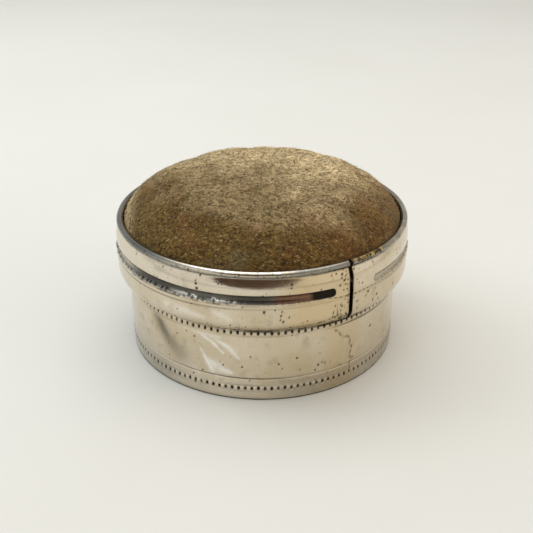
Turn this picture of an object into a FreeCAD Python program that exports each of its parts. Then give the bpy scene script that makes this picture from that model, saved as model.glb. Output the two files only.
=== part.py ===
import FreeCAD, Part
import math
import os
import Sketcher
from types import SimpleNamespace

# Bobbin box: a round box of plated sheet metal with a pull-off lid. The lid is a rolled strip with an open
# seam, so that it springs shut on the neck of the box, and it carries a stuffed velvet pincushion. Inside,
# four bobbins of thread turn on upright spindles.
# The frame is in millimetres: the origin is on the axis of the box at the height it stands on, +Z is up,
# -Y is the front and +X is the right.

DRIVING_SIZES = {
    # Plated sheet that the wall, the pan, the plate and the lid are cut from
    "sheet_gauge": 0.4,
    # Bobbins
    "bobbin_radius": 10.15,
    "bobbin_length": 11.7,
    "bobbin_bore": 3.0,
    "core_wall": 0.8,
    "flange_gauge": 0.6,
    "flange_hole_radius": 1.2,
    "flange_hole_circle": 6.6,
    # How full each bobbin is wound, as the radius of its thread, and how far the winding bulges
    "thread_radius_one": 9.2,
    "thread_radius_two": 8.5,
    "thread_radius_three": 9.0,
    "thread_radius_four": 7.9,
    "thread_crown": 0.3,
    "thread_gap": 0.05,
    # Spindles and the plate they are riveted to
    "bobbin_spacing": 0.8,
    "bobbin_wall_room": 1.33,
    "running_gap": 0.06,
    "shoulder_radius": 4.2,
    "shoulder_height": 0.6,
    "spindle_tip": 1.7,
    "spindle_dome": 1.2,
    "tenon_radius": 1.6,
    "plate_edge_gap": 0.3,
    # Base: the rolled wall and the pan soldered into its foot
    "headroom": 8.0,
    "neck_height": 8.26,
    "bead_width": 0.9,
    "bead_rise": 0.45,
    "foot_bead_height": 2.5,
    "score_height": 4.7,
    "score_width": 0.3,
    "score_depth": 0.12,
    "foot_chamfer": 0.15,
    "pan_flange": 2.2,
    "pan_bend": 0.25,
    "solder_gap": 0.03,
    # Lid band: how far each part of it stands out from the wall below
    "rim_overhang": 1.75,
    "collar_overhang": 1.35,
    "band_overhang": 2.0,
    "skirt_overhang": 2.1,
    "collar_height": 1.2,
    "collar_slope": 1.2,
    "turn_radius": 2.6,
    "lid_edge_gap": 0.2,
    "lid_grip_gap": 0.14,
    "groove_radius": 1.0,
    "groove_depth": 0.4,
    "groove_stop": 7.7,
    "slit_width": 0.8,
    "slit_bearing": -57.0,
    "wire_radius": 0.2,
    "wire_gap": 0.02,
    # Pincushion: a card, a stuffing and a velvet cover gathered under the card
    "floor_edge_gap": 0.2,
    "cushion_recess": 3.34,
    "cushion_rise": 8.4,
    "cushion_gap": 0.1,
    "velvet_gauge": 0.9,
    "margin_gauge": 0.5,
    "margin_width": 8.0,
    "card_gauge": 1.0,
    "layer_gap": 0.04,
    "gather_thread_radius": 0.2,
}

FLANGE_HOLES = 6
FULL_TURN = 360.0
CORNERS = ((1, -1), (1, 1), (-1, 1), (-1, -1))
COUNT_WORDS = ("one", "two", "three", "four")

document = FreeCAD.newDocument("BobbinBox")
sheet = document.addObject("Spreadsheet::Sheet", "Sizes")
sub_parts = []


class Size:
    """A number together with the expression that works it out from the sheet."""

    def __init__(self, number, text):
        self.number = number
        self.text = text

    def joined(self, sign, other, number):
        return Size(number, f"({self.text} {sign} {other.text})")

    def __add__(self, other):
        other = sized(other)
        return self.joined("+", other, self.number + other.number)

    def __sub__(self, other):
        other = sized(other)
        return self.joined("-", other, self.number - other.number)

    def __mul__(self, other):
        other = sized(other)
        return self.joined("*", other, self.number * other.number)

    def __truediv__(self, other):
        other = sized(other)
        return self.joined("/", other, self.number / other.number)

    def __rsub__(self, other):
        return sized(other) - self

    def __rmul__(self, other):
        return sized(other) * self


def sized(value):
    """A plain number as a Size that no cell drives."""
    return value if isinstance(value, Size) else Size(float(value), repr(float(value)))


def root(square):
    return Size(math.sqrt(square.number), f"sqrt({square.text})")


def fill_sheet():
    """Write the driving sizes to the sheet and return them under their aliases."""
    named = {}
    for row, (alias, number) in enumerate(DRIVING_SIZES.items(), start=1):
        sheet.set(f"A{row}", alias.replace("_", " "))
        sheet.set(f"B{row}", str(number))
        sheet.setAlias(f"B{row}", alias)
        named[alias] = Size(number, f"{sheet.Name}.{alias}")
    document.recompute()
    return SimpleNamespace(**named)


size = fill_sheet()
ZERO = sized(0)


def bind(thing, sizes):
    """Drive properties of an object from the sheet."""
    for path, value in sizes.items():
        thing.setExpression(path, value.text)


def finished(thing, label):
    """Name a sub-part and add it to what is written."""
    thing.Label = label
    sub_parts.append(thing)
    return thing


def new_body(label):
    return finished(document.addObject("PartDesign::Body", label), label)


def new_sketch(body, role, name):
    """A sketch on one of the body's own origin planes."""
    sketch = body.newObject("Sketcher::SketchObject", name)
    plane = next(item for item in body.Origin.OriginFeatures if item.Role == role)
    sketch.AttachmentSupport = [(plane, "")]
    sketch.MapMode = "FlatFace"
    return sketch


def hold(sketch, kind, edge, end, value):
    """Fix one coordinate of a sketch point. A coordinate of nought puts the point on that axis."""
    if value is ZERO:
        axis = -2 if kind == "DistanceX" else -1
        sketch.addConstraint(Sketcher.Constraint("PointOnObject", edge, end, axis))
        return
    number = sketch.addConstraint(Sketcher.Constraint(kind, -1, 1, edge, end, value.number))
    sketch.setExpression(f"Constraints[{number}]", value.text)


def straight(across, up):
    """A straight run of an outline, to the point given."""
    return SimpleNamespace(across=across, up=up, centre=None)


def rounded(across, up, centre, turn, held="up"):
    """A round run to the point given. Turn 1 is anticlockwise. One coordinate says where the run ends."""
    return SimpleNamespace(across=across, up=up, centre=centre, turn=turn, held=held)


def at(point):
    return FreeCAD.Vector(point.across.number, point.up.number, 0)


def round_edge(begin, run):
    """The arc from one point of an outline to the next."""
    middle = FreeCAD.Vector(run.centre[0].number, run.centre[1].number, 0)
    first, last = (begin, at(run)) if run.turn == 1 else (at(run), begin)
    first_angle = math.atan2(first.y - middle.y, first.x - middle.x)
    last_angle = math.atan2(last.y - middle.y, last.x - middle.x)
    whole = Part.Circle(middle, FreeCAD.Vector(0, 0, 1), (first - middle).Length)
    return Part.ArcOfCircle(whole, first_angle, last_angle)


def draw_outline(sketch, runs):
    """Draw a closed outline. The last run ends where the first one starts."""
    ends = []
    for index, run in enumerate(runs):
        begin = at(runs[index - 1])
        shape = round_edge(begin, run) if run.centre else Part.LineSegment(begin, at(run))
        edge = sketch.addGeometry(shape, False)
        backward = run.centre and run.turn != 1
        start, end = (2, 1) if backward else (1, 2)
        ends.append(SimpleNamespace(edge=edge, start=start, end=end))
    for index, run in enumerate(runs):
        edge, end = ends[index].edge, ends[index].end
        before = ends[index - 1]
        sketch.addConstraint(
            Sketcher.Constraint("Coincident", before.edge, before.end, edge, ends[index].start)
        )
        if run.centre:
            hold(sketch, "DistanceX", edge, 3, run.centre[0])
            hold(sketch, "DistanceY", edge, 3, run.centre[1])
        if not run.centre or run.held == "across":
            hold(sketch, "DistanceX", edge, end, run.across)
        if not run.centre or run.held == "up":
            hold(sketch, "DistanceY", edge, end, run.up)


def draw_circle(sketch, across, up, radius):
    centre = FreeCAD.Vector(across.number, up.number, 0)
    edge = sketch.addGeometry(Part.Circle(centre, FreeCAD.Vector(0, 0, 1), radius.number), False)
    hold(sketch, "DistanceX", edge, 3, across)
    hold(sketch, "DistanceY", edge, 3, up)
    number = sketch.addConstraint(Sketcher.Constraint("Radius", edge, radius.number))
    sketch.setExpression(f"Constraints[{number}]", radius.text)


def turned(body, name, sketch, angle=None, kind="PartDesign::Revolution"):
    """Turn a sketch about the body's upright axis, all round or evenly to both sides of the sketch."""
    feature = body.newObject(kind, name)
    feature.Profile = sketch
    feature.ReferenceAxis = (sketch, ["V_Axis"])
    feature.Angle = FULL_TURN
    if angle:
        feature.Midplane = True
        bind(feature, {"Angle": angle})
    return feature


def padded(body, name, sketch, length):
    feature = body.newObject("PartDesign::Pad", name)
    feature.Profile = sketch
    bind(feature, {"Length": length})
    return feature


def drilled_round(body, name, sketch, length, copies):
    """Drill a sketch upwards through the body and repeat the hole evenly about the upright axis."""
    pocket = body.newObject("PartDesign::Pocket", f"{name}Hole")
    pocket.Profile = sketch
    pocket.Reversed = True
    bind(pocket, {"Length": length})
    document.recompute()
    pattern = body.newObject("PartDesign::PolarPattern", f"{name}Ring")
    pattern.Originals = [pocket]
    pattern.Axis = (sketch, ["N_Axis"])
    pattern.Angle = FULL_TURN
    pattern.Occurrences = copies
    body.Tip = pattern


def cylinder(name, radius, height, bottom):
    thing = document.addObject("Part::Cylinder", name)
    bind(thing, {"Radius": radius, "Height": height, "Placement.Base.z": bottom})
    return thing


def ring(name, radius, section_radius, height):
    thing = document.addObject("Part::Torus", name)
    bind(thing, {"Radius1": radius, "Radius2": section_radius, "Placement.Base.z": height})
    return thing


def domed_block(name, radius, bottom, shoulder, rise):
    """A round block whose top swells into half an ellipsoid from the shoulder up."""
    block = cylinder(f"{name}Block", radius, shoulder - bottom, bottom)
    dome = document.addObject("Part::Ellipsoid", f"{name}Dome")
    dome.Angle1 = 0
    bind(dome, {"Radius1": rise, "Radius2": radius, "Radius3": radius, "Placement.Base.z": shoulder})
    return combined("Part::Fuse", name, block, dome)


def combined(kind, name, base, tool):
    thing = document.addObject(kind, name)
    thing.Base = base
    thing.Tool = tool
    return thing


# Heights, from the surface that the box stands on to the top of the cushion
plate_bottom = size.sheet_gauge
plate_top = plate_bottom + size.sheet_gauge
shoulder_top = plate_top + size.shoulder_height
bobbin_bottom = shoulder_top + size.running_gap
bobbin_top = bobbin_bottom + size.bobbin_length
spindle_top = bobbin_top + size.spindle_tip
neck_top = spindle_top + size.headroom
stop_bead_height = neck_top - size.neck_height
lid_bottom = stop_bead_height + size.bead_width / 2 + size.lid_edge_gap
floor_top = neck_top + size.sheet_gauge
rim_height = floor_top + size.cushion_recess

# Distances from the axis: the bobbins set the wall, and the wall sets the lid
bobbin_reach = size.bobbin_radius + size.bobbin_spacing / 2
wall_inside = bobbin_reach * root(sized(2)) + size.bobbin_radius + size.bobbin_wall_room
wall_radius = wall_inside + size.sheet_gauge
pan_radius = wall_inside - size.solder_gap
spindle_radius = size.bobbin_bore - size.running_gap
core_radius = size.bobbin_bore + size.core_wall
collar_radius = wall_radius + size.collar_overhang
band_radius = wall_radius + size.band_overhang
skirt_radius = wall_radius + size.skirt_overhang
floor_radius = band_radius - size.sheet_gauge - size.floor_edge_gap
roll_bore = size.wire_radius + size.wire_gap
roll_radius = roll_bore + size.sheet_gauge
roll_reach = wall_radius + size.rim_overhang - roll_radius
cushion_radius = roll_reach - roll_radius - size.cushion_gap

# The open seam of the lid, as an angle about the axis, and the angle that its groove spans
slit_angle = size.slit_width / skirt_radius * (180 / math.pi)
lid_turn = FULL_TURN - slit_angle
groove_turn = FULL_TURN - 2 * size.groove_stop


def base_wall():
    """The rolled wall, with a raised bead at its foot, a scored line, the bead that stops the lid, and
    the plain neck above it that the lid grips."""
    body = new_body("base_wall")
    sketch = new_sketch(body, "XZ_Plane", "WallSection")
    half = size.bead_width / 2
    bulge = (half * half + size.bead_rise * size.bead_rise) / (2 * size.bead_rise)
    bulge_centre = wall_radius + size.bead_rise - bulge
    runs = [
        straight(wall_inside, ZERO),
        straight(wall_radius - size.foot_chamfer, ZERO),
        straight(wall_radius, size.foot_chamfer),
    ]
    for height in (size.foot_bead_height, stop_bead_height):
        runs.append(straight(wall_radius, height - half))
        runs.append(rounded(wall_radius, height + half, (bulge_centre, height), 1, held="across"))
        if height is size.foot_bead_height:
            runs.append(straight(wall_radius, size.score_height - size.score_width / 2))
            runs.append(straight(wall_radius - size.score_depth, size.score_height))
            runs.append(straight(wall_radius, size.score_height + size.score_width / 2))
    runs.append(straight(wall_radius, neck_top))
    runs.append(straight(wall_inside, neck_top))
    draw_outline(sketch, runs)
    turned(body, "Wall", sketch)


def base_pan():
    """The bottom: a shallow pan whose upturned flange is soldered inside the wall."""
    body = new_body("base_pan")
    sketch = new_sketch(body, "XZ_Plane", "PanSection")
    inner = pan_radius - size.sheet_gauge
    outer_bend = size.pan_bend + size.sheet_gauge
    bend_centre = (inner - size.pan_bend, outer_bend)
    draw_outline(sketch, [
        straight(ZERO, ZERO),
        straight(bend_centre[0], ZERO),
        rounded(pan_radius, outer_bend, bend_centre, 1, held="up"),
        straight(pan_radius, size.pan_flange),
        straight(inner, size.pan_flange),
        straight(inner, outer_bend),
        rounded(bend_centre[0], size.sheet_gauge, bend_centre, -1, held="across"),
        straight(ZERO, size.sheet_gauge),
    ])
    turned(body, "Pan", sketch)


def spindle_plate():
    """The disc that the spindles are riveted to. It lies on the pan."""
    body = new_body("spindle_plate")
    disc = new_sketch(body, "XY_Plane", "PlateDisc")
    draw_circle(disc, ZERO, ZERO, pan_radius - size.sheet_gauge - size.plate_edge_gap)
    padded(body, "Plate", disc, size.sheet_gauge)
    hole = new_sketch(body, "XY_Plane", "PlateTenon")
    draw_circle(hole, bobbin_reach, bobbin_reach, size.tenon_radius)
    drilled_round(body, "Plate", hole, size.sheet_gauge, len(CORNERS))
    bind(body, {"Placement.Base.z": plate_bottom})


def stand_at(thing, corner):
    """Move a piece that was made on the axis to one corner of the square of spindles."""
    bind(thing, {
        "Placement.Base.x": corner[0] * bobbin_reach,
        "Placement.Base.y": corner[1] * bobbin_reach,
    })


def spindle(number, corner):
    """A turned post: a tenon in the plate, a shoulder under the bobbin and a domed tip above it."""
    body = new_body(f"spindle_{number}")
    sketch = new_sketch(body, "XZ_Plane", f"SpindleSection{number}")
    dome_radius = (spindle_radius * spindle_radius + size.spindle_dome * size.spindle_dome) / (
        2 * size.spindle_dome
    )
    draw_outline(sketch, [
        straight(ZERO, plate_bottom),
        straight(size.tenon_radius, plate_bottom),
        straight(size.tenon_radius, plate_top),
        straight(size.shoulder_radius, plate_top),
        straight(size.shoulder_radius, shoulder_top),
        straight(spindle_radius, shoulder_top),
        straight(spindle_radius, spindle_top - size.spindle_dome),
        rounded(ZERO, spindle_top, (ZERO, spindle_top - dome_radius), 1, held="across"),
    ])
    turned(body, f"Post{number}", sketch)
    stand_at(body, corner)


def bobbin_core(number, corner):
    """The tube that the thread is wound on. Both flanges are fixed on its ends."""
    tube = cylinder(f"CoreTube{number}", core_radius, size.bobbin_length, ZERO)
    bore = cylinder(f"CoreBore{number}", size.bobbin_bore, size.bobbin_length, ZERO)
    core = finished(combined("Part::Cut", f"Core{number}", tube, bore), f"bobbin_{number}_core")
    bind(core, {"Placement.Base.z": bobbin_bottom})
    stand_at(core, corner)


def bobbin_flange(number, corner, place, bottom):
    """One end disc of a bobbin, with a ring of round holes."""
    body = new_body(f"bobbin_{number}_{place}_flange")
    disc = new_sketch(body, "XY_Plane", f"FlangeDisc{place}{number}")
    draw_circle(disc, ZERO, ZERO, size.bobbin_radius)
    draw_circle(disc, ZERO, ZERO, core_radius)
    padded(body, f"Flange{place}{number}", disc, size.flange_gauge)
    hole = new_sketch(body, "XY_Plane", f"FlangeHole{place}{number}")
    draw_circle(hole, size.flange_hole_circle, ZERO, size.flange_hole_radius)
    drilled_round(body, f"Flange{place}{number}", hole, size.flange_gauge, FLANGE_HOLES)
    bind(body, {"Placement.Base.z": bottom})
    stand_at(body, corner)


def bobbin_thread(number, corner):
    """The winding between the flanges, with a slightly bulging side."""
    body = new_body(f"bobbin_{number}_thread")
    sketch = new_sketch(body, "XZ_Plane", f"WindingSection{number}")
    inner = core_radius + size.thread_gap
    outer = getattr(size, f"thread_radius_{COUNT_WORDS[number - 1]}")
    edge = outer - size.thread_crown
    bottom = bobbin_bottom + size.flange_gauge + size.thread_gap
    top = bobbin_top - size.flange_gauge - size.thread_gap
    half = (top - bottom) / 2
    bulge = (half * half + size.thread_crown * size.thread_crown) / (2 * size.thread_crown)
    draw_outline(sketch, [
        straight(inner, bottom),
        straight(edge, bottom),
        rounded(edge, top, (outer - bulge, bottom + half), 1),
        straight(inner, top),
    ])
    turned(body, f"Winding{number}", sketch)
    stand_at(body, corner)


def lid_band():
    """The side of the lid: a strip rolled up with an open seam. Its lower edge turns in to grip the neck,
    its upper edge is rolled over a wire, and a groove pressed in below the rim stops short of the seam and
    holds the floor of the lid on its inner ridge. The section stands opposite the seam."""
    body = new_body("lid_band")
    gauge = size.sheet_gauge
    # The groove and its inner ridge share one centre, placed so that the floor's edge rests on the ridge
    ridge_radius = size.groove_radius + gauge
    groove_reach = (band_radius + skirt_radius) / 2 + size.groove_radius - size.groove_depth
    floor_inset = groove_reach - floor_radius
    groove_height = neck_top - root(ridge_radius * ridge_radius - floor_inset * floor_inset)
    # The lower edge turns in on an arc that ends where its inside reaches the neck
    turn_centre = skirt_radius - size.turn_radius
    turn_inside = size.turn_radius - gauge
    lip_reach = wall_radius + size.lid_grip_gap - turn_centre
    lip_drop = root(turn_inside * turn_inside - lip_reach * lip_reach)
    stretch = size.turn_radius / turn_inside
    turn_height = lid_bottom + lip_drop * stretch
    centre = (turn_centre, turn_height)
    # The collar under the roll, which the strip enters
    collar_top = rim_height - roll_bore - gauge / 4
    collar_bottom = rim_height - size.collar_height
    slope_bottom = collar_bottom - size.collar_slope
    section = new_sketch(body, "XZ_Plane", "BandSection")
    draw_outline(section, [
        straight(turn_centre + lip_reach * stretch, lid_bottom),
        rounded(skirt_radius, turn_height, centre, 1),
        straight(skirt_radius, groove_height - size.groove_radius),
        straight(band_radius, groove_height + size.groove_radius),
        straight(band_radius, slope_bottom),
        straight(collar_radius, collar_bottom),
        straight(collar_radius, collar_top),
        straight(collar_radius - gauge, collar_top),
        straight(collar_radius - gauge, collar_bottom),
        straight(band_radius - gauge, slope_bottom),
        straight(band_radius - gauge, groove_height + size.groove_radius),
        straight(skirt_radius - gauge, groove_height - size.groove_radius),
        straight(skirt_radius - gauge, turn_height),
        rounded(wall_radius + size.lid_grip_gap, turn_height - lip_drop, centre, -1),
    ])
    turned(body, "Band", section, lid_turn)
    roll = new_sketch(body, "XZ_Plane", "RollSection")
    draw_circle(roll, roll_reach, rim_height, roll_radius)
    draw_circle(roll, roll_reach, rim_height, roll_bore)
    turned(body, "Roll", roll, lid_turn)
    ridge = new_sketch(body, "XZ_Plane", "RidgeSection")
    ridge_edge = (band_radius + skirt_radius - gauge) / 2
    ridge_inset = groove_reach - ridge_edge
    ridge_half = root(ridge_radius * ridge_radius - ridge_inset * ridge_inset)
    draw_outline(ridge, [
        straight(ridge_edge, groove_height + ridge_half),
        rounded(ridge_edge, groove_height - ridge_half, (groove_reach, groove_height), 1),
    ])
    turned(body, "Ridge", ridge, groove_turn)
    groove = new_sketch(body, "XZ_Plane", "GrooveSection")
    draw_circle(groove, groove_reach, groove_height, size.groove_radius)
    turned(body, "Channel", groove, groove_turn, "PartDesign::Groove")
    bind(body, {"Placement.Rotation.Angle": size.slit_bearing + FULL_TURN / 2})


def rim_wire():
    """The brass wire inside the rolled rim. Its ends show at the seam."""
    wire = finished(ring("RimWire", roll_reach, size.wire_radius, rim_height), "rim_wire")
    bind(wire, {
        "Angle3": lid_turn,
        "Placement.Rotation.Angle": size.slit_bearing + slit_angle / 2,
    })


def lid_floor():
    """The disc under the cushion. It lies on the ridge of the groove and on the top of the neck."""
    finished(cylinder("LidFloor", floor_radius, size.sheet_gauge, neck_top), "lid_floor")


def cushion():
    """The pincushion: a card, a stuffing and a velvet cover gathered with a thread under the card."""
    margin_bottom = floor_top + size.layer_gap
    card_bottom = margin_bottom + size.margin_gauge + size.layer_gap
    card_top = card_bottom + size.card_gauge
    inside = cushion_radius - size.velvet_gauge
    inner_rise = size.cushion_rise - size.velvet_gauge
    filling = inside - size.layer_gap
    outer = domed_block("CoverOutside", cushion_radius, margin_bottom, rim_height, size.cushion_rise)
    hollow = domed_block("CoverInside", inside, card_bottom - size.layer_gap, rim_height, inner_rise)
    mouth = cylinder(
        "CoverMouth", cushion_radius - size.margin_width, 2 * size.margin_gauge,
        card_bottom - 2 * size.margin_gauge,
    )
    shell = combined("Part::Cut", "CoverShell", outer, hollow)
    finished(combined("Part::Cut", "Cover", shell, mouth), "cushion_cover")
    finished(cylinder("Card", filling, size.card_gauge, card_bottom), "cushion_card")
    stuffing = domed_block(
        "Stuffing", filling, card_top + size.layer_gap, rim_height, inner_rise - size.layer_gap
    )
    finished(stuffing, "cushion_stuffing")
    gather = ring(
        "GatherThread",
        cushion_radius - size.margin_width - size.gather_thread_radius - size.layer_gap,
        size.gather_thread_radius,
        margin_bottom + size.margin_gauge / 2,
    )
    finished(gather, "gathering_thread")


def write_sub_parts():
    """Write each sub-part to its own file, once every object in the document has been found sound."""
    document.recompute()
    for thing in document.Objects:
        if "Invalid" in thing.State or "Error" in thing.State:
            raise RuntimeError(f"{thing.Label} did not build: {thing.State}")
    for thing in sub_parts:
        if thing.Shape.isNull() or not thing.Shape.isValid() or len(thing.Shape.Solids) != 1:
            raise RuntimeError(f"{thing.Label} is not one sound solid")
    os.makedirs("parts", exist_ok=True)
    for thing in sub_parts:
        thing.Shape.exportStep(f"parts/{thing.Label}.step")
        print(f"{thing.Label}: {thing.Shape.Volume:.2f} mm3")


base_wall()
base_pan()
spindle_plate()
for number, corner in enumerate(CORNERS, start=1):
    spindle(number, corner)
    bobbin_core(number, corner)
    bobbin_flange(number, corner, "lower", bobbin_bottom)
    bobbin_flange(number, corner, "upper", bobbin_top - size.flange_gauge)
    bobbin_thread(number, corner)
lid_band()
rim_wire()
lid_floor()
cushion()
write_sub_parts()
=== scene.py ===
import bpy
import math
import numpy as np
from numpy.random import default_rng
from mathutils import Matrix, Vector, noise


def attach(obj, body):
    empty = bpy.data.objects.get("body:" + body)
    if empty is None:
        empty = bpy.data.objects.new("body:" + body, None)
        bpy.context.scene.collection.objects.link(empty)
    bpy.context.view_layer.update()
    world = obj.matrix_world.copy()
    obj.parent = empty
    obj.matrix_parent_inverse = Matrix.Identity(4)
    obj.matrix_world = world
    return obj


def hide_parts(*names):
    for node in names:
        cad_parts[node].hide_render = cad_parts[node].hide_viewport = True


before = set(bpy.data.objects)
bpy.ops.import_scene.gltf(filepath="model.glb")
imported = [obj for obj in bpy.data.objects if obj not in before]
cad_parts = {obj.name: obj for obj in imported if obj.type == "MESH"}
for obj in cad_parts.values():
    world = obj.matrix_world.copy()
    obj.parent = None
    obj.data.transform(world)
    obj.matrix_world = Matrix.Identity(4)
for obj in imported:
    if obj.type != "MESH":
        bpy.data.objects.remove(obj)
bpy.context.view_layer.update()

# Base wall: a strip of nickel-plated brass sheet rolled into a tube and soldered shut at the front right.
# A rolling tool pressed two rows of beads and a fine line into it. The neck above the upper row is plain,
# because the lid slides over it. The plating is worn, pitted and dented.
scene = bpy.context.scene
MM = 0.001
SHARP_BEND = math.radians(40)
BEADS_ROUND = 138
COLUMNS_TO_A_BEAD = 8
WALL_REACH = 26.8
WALL_GAUGE = 0.4
WALL_ROUND = (-math.pi * WALL_REACH, math.pi * WALL_REACH)
FOOT_ROUNDING = 0.15
NECK_TOP = 22.86
FOOT_BEAD = 2.5
STOP_BEAD = 14.35
BEAD_HALF = 0.5
BEAD_RISE = 0.1
ROW_EDGE = 0.63
SLOT_DEPTH = 0.18
SCORE_HEIGHT = 4.7
SCORE_HALF = 0.13
SCORE_DEPTH = 0.12
PLAIN_WALL = (3.2, 13.8)
DENT_DEPTH = 0.3
SCRATCH_DEPTH = 0.05
SEAM_HALF = 0.15
SEAM_DEPTH = 0.05
PIT_CORE = 0.8
TRACKS = 110
WAVES = 7


def put(name, data):
    """A new object in the scene."""
    made = bpy.data.objects.new(name, data)
    scene.collection.objects.link(made)
    return made


def new_piece(name, points, faces):
    """A mesh object with smooth faces that break at its sharp bends."""
    mesh = bpy.data.meshes.new(name)
    mesh.from_pydata(np.asarray(points).tolist(), [], faces)
    mesh.shade_smooth()
    mesh.set_sharp_from_angle(angle=SHARP_BEND)
    return put(name, mesh)


def rolled_sheet(name, bearings, reach, height, shut):
    """A sheet rolled about the upright axis. Bearings go from the front to the right, in degrees. Each row is
    one point of the closed section, up its outer face and down its inner face, in millimetres."""
    rows, columns = reach.shape
    turn = np.radians(bearings)
    points = np.stack([reach * np.sin(turn), -reach * np.cos(turn), height + 0 * turn], axis=-1) * MM
    index = np.arange(rows * columns).reshape(rows, columns)
    after = np.roll(index, -1, axis=0)
    if shut:
        index = np.hstack([index, index[:, :1]])
        after = np.hstack([after, after[:, :1]])
    quads = np.stack([index[:, :-1], index[:, 1:], after[:, 1:], after[:, :-1]], axis=-1)
    faces = quads.reshape(-1, 4).tolist()
    if not shut:
        faces.append(index[:, 0].tolist())
        faces.append(index[::-1, -1].tolist())
    return new_piece(name, points.reshape(-1, 3), faces)


def outer_face(height, outer_rows):
    """1 for the rows of a section on its outer face and 0 for those on its inner face."""
    return (np.arange(len(height)) < outer_rows)[:, None].astype(float)


def mark(piece, name, shares):
    """Keep a share from 0 to 1 at each point of a piece, for its finish to read."""
    layer = piece.data.attributes.new(name, "FLOAT", "POINT")
    layer.data.foreach_set("value", held(shares).astype(np.float32).ravel())


def held(share):
    """A share kept between 0 and 1."""
    return np.clip(share, 0, 1)


def eased(value, low, high):
    """A share that goes softly from 0 to 1 between two values."""
    share = held((value - low) / (high - low))
    return share * share * (3 - 2 * share)


def span(value, opens, full, fades, ends):
    """A share that rises over one stretch of a value and falls over a later one."""
    return eased(value, opens, full) * (1 - eased(value, fades, ends))


def bell(away, width):
    """A share that is 1 at no distance and falls off softly over a width."""
    return np.exp(-((away / width) ** 2))


def strongest(*shares):
    """The greatest of several shares at each spot, and never less than nothing."""
    greatest = 0
    for share in shares:
        greatest = np.maximum(greatest, share)
    return greatest


def streak(sheet, line):
    """A streak on a sheet, strongest along its line. Each point has a bearing, a height and a half width."""
    arc, height, reach = sheet
    shade = 0
    for (bearing_a, up_a, half_a), (bearing_b, up_b, half_b) in zip(line, line[1:]):
        start = math.radians(bearing_a) * reach
        along, up = math.radians(bearing_b) * reach - start, up_b - up_a
        share = held(((arc - start) * along + (height - up_a) * up) / (along**2 + up**2))
        away = np.hypot(arc - start - share * along, height - up_a - share * up)
        shade = np.maximum(shade, bell(away, half_a + share * (half_b - half_a)))
    return shade


def of_width(line, half):
    """A line of bearings and heights, as one of the same half width all along."""
    return [(bearing, height, half) for bearing, height in line]


def pearls(arc, pitch, above, half, rise, opening):
    """A row of round beads: how far each spot stands out, and how deep it lies between two beads."""
    beside = (arc / pitch - np.round(arc / pitch)) * 2
    level = np.clip(1 - (above / half) ** 2, 0, None)
    notch = held((abs(beside) - opening) / 0.3) * held(1.7 - 1.6 * abs(above / half))
    return rise * level * (1 - abs(beside) ** 3) - SLOT_DEPTH * notch, notch


def by_bead(arc, pitch, seed):
    """A chance number from 0 to 1 for each bead of a row."""
    chances = default_rng(seed).uniform(0, 1, BEADS_ROUND)
    return chances[np.round(arc / pitch).astype(int) % BEADS_ROUND]


def spots(arc, height, places):
    """Small round spots at the places given, each with its radius."""
    shade = 0
    for spot_arc, spot_height, radius in places:
        shade = np.maximum(shade, bell((arc - spot_arc) ** 2 + (height - spot_height) ** 2, radius**2))
    return shade


def pits_at(places, reach):
    """Pits given by bearing, height and radius, as places along the sheet. Only the core of each is dark."""
    return [(math.radians(bearing) * reach, height, PIT_CORE * radius) for bearing, height, radius in places]


def scattered(dice, count, arcs, heights, radii):
    """Chance spots on a stretch of sheet, each with its radius."""
    return [(dice.uniform(*arcs), dice.uniform(*heights), dice.uniform(*radii)) for _ in range(count)]


def waviness(sheet, seed, size):
    """Low waves that hands and age leave in thin sheet."""
    arc, height, reach = sheet
    dice = default_rng(seed)
    waves = 0
    for _ in range(WAVES):
        turns = dice.integers(2, 9)
        steep = dice.uniform(-0.45, 0.45)
        waves += np.cos(arc / reach * turns + height * steep + dice.uniform(0, 6.3))
    return waves * size / WAVES


wall_outside = np.hstack([
    [0.0, 0.08, FOOT_ROUNDING, 0.4, 0.8, 1.2, 1.6, 1.92],
    np.linspace(FOOT_BEAD - BEAD_HALF, FOOT_BEAD + BEAD_HALF, 11),
    [3.15, 3.5, 3.9, 4.3],
    [4.55, 4.63, SCORE_HEIGHT, 4.77, 4.85],
    np.linspace(5.15, 13.7, 27),
    np.linspace(STOP_BEAD - BEAD_HALF, STOP_BEAD + BEAD_HALF, 11),
    [15.0, 15.15, 15.3, 15.5, 15.7],
    np.linspace(16.2, 22.6, 9),
    [22.78, NECK_TOP],
])
wall_inside = [NECK_TOP, 16.0, 8.0, 2.0, 0.0]
wall_up = np.hstack([wall_outside, wall_inside])[:, None]
wall_face = outer_face(wall_up, len(wall_outside))
wall_columns = BEADS_ROUND * COLUMNS_TO_A_BEAD
wall_side = np.arange(wall_columns) * 360 / wall_columns - 180
wall_turn = np.radians(wall_side)
wall_arc = wall_turn * WALL_REACH
wall_sheet = (wall_arc, wall_up, WALL_REACH)
bead_pitch = 2 * math.pi * WALL_REACH / BEADS_ROUND
bead_gaps = wall_arc + bead_pitch / 2


def bead_row(level, slip, narrowest, spread, seeds):
    """One row of beads rolled into the wall, no two of them quite alike."""
    above = wall_up - level - slip * (by_bead(bead_gaps, bead_pitch, seeds[0]) - 0.5)
    opening = narrowest + spread * by_bead(bead_gaps, bead_pitch, seeds[1])
    return pearls(wall_arc, bead_pitch, above, BEAD_HALF, BEAD_RISE, opening)


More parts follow.
